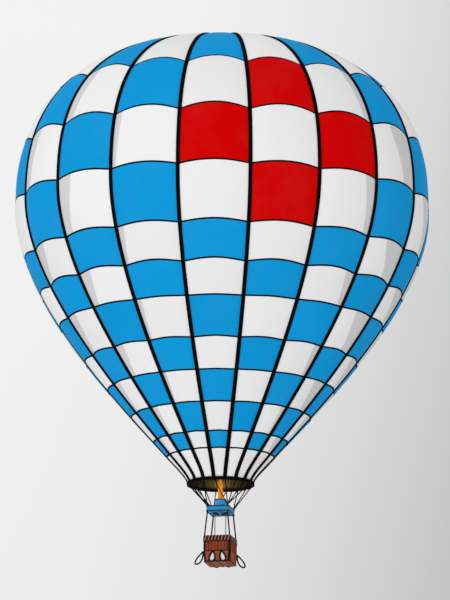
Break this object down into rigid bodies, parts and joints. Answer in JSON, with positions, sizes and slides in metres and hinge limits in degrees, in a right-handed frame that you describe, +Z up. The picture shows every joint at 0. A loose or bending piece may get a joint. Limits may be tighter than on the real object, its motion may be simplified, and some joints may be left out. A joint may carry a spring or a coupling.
{
  "type": "hot air balloon",
  "caption": "Hot air balloon: chequered fabric envelope with load tapes and parachute valve, gimballed burner on a load frame, and a wicker basket with rope loops.",
  "frame": {"origin": "centre of the envelope's widest ring, on the axis, where the air carries the balloon", "axes": "+Z up; the basket's front faces -Y; +X is to the right of someone looking at the front"},
  "size_m": [17.1238, 17.028, 22.1023],
  "materials": {
    "blue_fabric": "coated ripstop cloth, satin",
    "white_fabric": "coated ripstop cloth, satin",
    "black_tape": "woven webbing",
    "black_wire": "black sleeved steel wire",
    "blue_paint": "satin enamel",
    "black_metal": "black enamel",
    "steel": "brushed stainless",
    "black_sleeve": "padded leather sleeve over a nylon pole",
    "hose_rubber": "matt rubber",
    "wicker": "varnished cane",
    "rim_hide": "stitched hide",
    "tan_hide": "suede hide",
    "floor_wood": "varnished plywood",
    "black_rope": "laid rope"
  },
  "bodies": {
    "balloon": {"envelope_crown_a": "blue_fabric", "envelope_crown_b": "white_fabric", "envelope_crown_c": "blue_fabric", "envelope_crown_d": "white_fabric", "envelope_belly_a": "white_fabric", "envelope_belly_b": "blue_fabric", "envelope_belly_c": "white_fabric", "envelope_belly_d": "blue_fabric", "envelope_cone_a": "blue_fabric", "envelope_cone_b": "white_fabric", "envelope_cone_c": "blue_fabric", "envelope_cone_d": "white_fabric", "envelope_skirt": "white_fabric", "load_tapes": "black_tape", "mouth_band": "black_tape", "flying_wires_front_right": "black_wire", "flying_wires_back_right": "black_wire", "flying_wires_back_left": "black_wire", "flying_wires_front_left": "black_wire", "burner_load_frame": "blue_paint", "upright_front_right": "black_sleeve", "upright_back_right": "black_sleeve", "upright_back_left": "black_sleeve", "upright_front_left": "black_sleeve", "fuel_cylinder_right": "steel", "fuel_cylinder_left": "steel", "fuel_hose_right": "hose_rubber", "fuel_hose_left": "hose_rubber", "basket_wall_front": "wicker", "basket_wall_right": "wicker", "basket_wall_back": "wicker", "basket_wall_left": "wicker", "basket_rim": "rim_hide", "basket_hide": "tan_hide", "basket_floor": "floor_wood", "rope_loop_front_left": "black_rope", "rope_loop_front_right": "black_rope", "rope_loop_back_right": "black_rope", "rope_loop_back_left": "black_rope", "rope_loop_left": "black_rope", "rope_loop_right": "black_rope"},
    "gimbal": {"gimbal_ring": "black_metal"},
    "burner": {"burner_block": "blue_paint", "burner_can": "blue_paint", "burner_coil": "steel", "burner_jet": "steel", "blast_valve": "steel"},
    "valve": {"parachute_valve": "white_fabric"}
  },
  "joints": [
    {"name": "gimbal_roll", "type": "hinge", "parent": "balloon", "child": "gimbal", "pos_m": [0, 0, -12.59], "axis": [1, 0, 0], "range_deg": [-12, 12]},
    {"name": "burner_pitch", "type": "hinge", "parent": "gimbal", "child": "burner", "pos_m": [0, 0, -12.59], "axis": [0, 1, 0], "range_deg": [-12, 12]},
    {"name": "valve_slide", "type": "slide", "parent": "balloon", "child": "valve", "axis": [0, 0, -1], "range_m": [0, 1], "stiffness_N_per_m": 60, "springref_m": -2}
  ]
}
